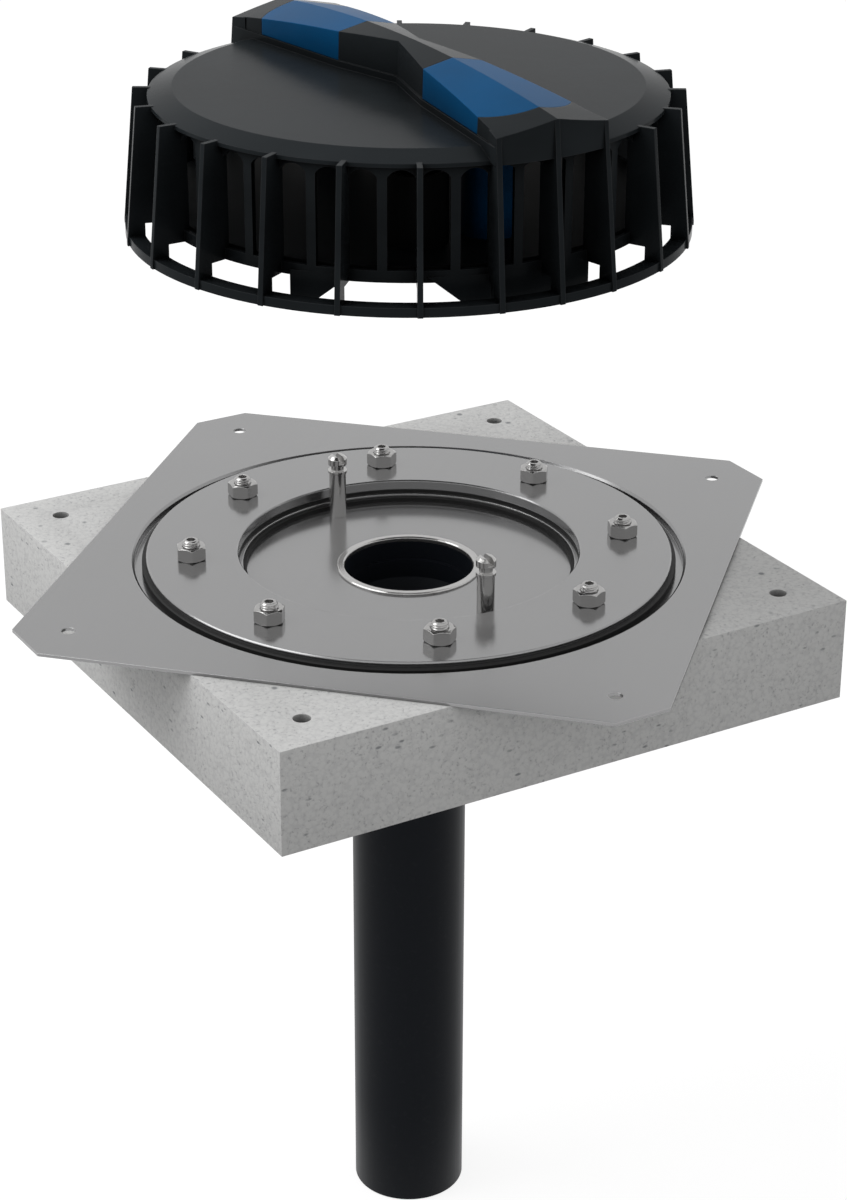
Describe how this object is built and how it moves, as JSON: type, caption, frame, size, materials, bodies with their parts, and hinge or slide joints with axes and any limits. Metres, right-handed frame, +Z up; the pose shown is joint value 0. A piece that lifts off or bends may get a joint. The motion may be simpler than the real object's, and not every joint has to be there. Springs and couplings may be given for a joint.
{
  "type": "flat roof drain",
  "caption": "flat roof drain: outlet pipe, insulating block, square steel sheet clamped by a bolted ring, and a ribbed leaf strainer lifted off it",
  "frame": {"origin": "centre of the outlet pipe's lower end", "axes": "+Z up along the pipe; the sides of the square sheet lie along X and Y; the handle and the catch pins lie on the diagonal towards +X -Y"},
  "size_m": [0.4172, 0.4172, 0.6055],
  "materials": {
    "pipe_black": "satin black extruded polyethylene",
    "foam_grey": "pale grey speckled rigid insulation",
    "sheet_steel": "satin stainless sheet",
    "dish_steel": "satin stainless sheet",
    "gasket_rubber": "matte black",
    "seal_rubber": "matte black",
    "ring_steel": "satin stainless sheet",
    "rim_steel": "bright stainless",
    "fitting_black": "matte black",
    "stud_steel": "bright stainless thread",
    "nut_steel": "bright stainless",
    "pin_steel": "turned stainless",
    "cage_black": "satin black moulding",
    "grip_blue": "satin blue moulding",
    "spring_steel": "bright spring steel",
    "baffle_black": "satin black moulding",
    "screw_steel": "bright stainless"
  },
  "bodies": {
    "base": {"outlet_pipe": "pipe_black", "insulation_block": "foam_grey", "base_sheet": "sheet_steel", "inlet_dish": "dish_steel", "dish_gasket": "gasket_rubber", "clamp_seal": "seal_rubber", "clamp_ring": "ring_steel", "outlet_rim": "rim_steel", "outlet_fitting": "fitting_black", "outlet_seal": "gasket_rubber", "clamp_studs": "stud_steel", "clamp_nuts": "nut_steel", "catch_pin_near": "pin_steel", "catch_pin_far": "pin_steel", "catch_pin_nuts": "nut_steel"},
    "strainer": {"strainer_cage": "cage_black", "grip_near": "grip_blue", "grip_far": "grip_blue", "catch_spring_near": "spring_steel", "catch_spring_far": "spring_steel", "air_baffle": "baffle_black", "baffle_screws": "screw_steel"}
  },
  "joints": [
    {"name": "strainer_lift", "type": "slide", "parent": "base", "child": "strainer", "axis": [0, 0, 1], "range_m": [-0.16, 0]}
  ]
}
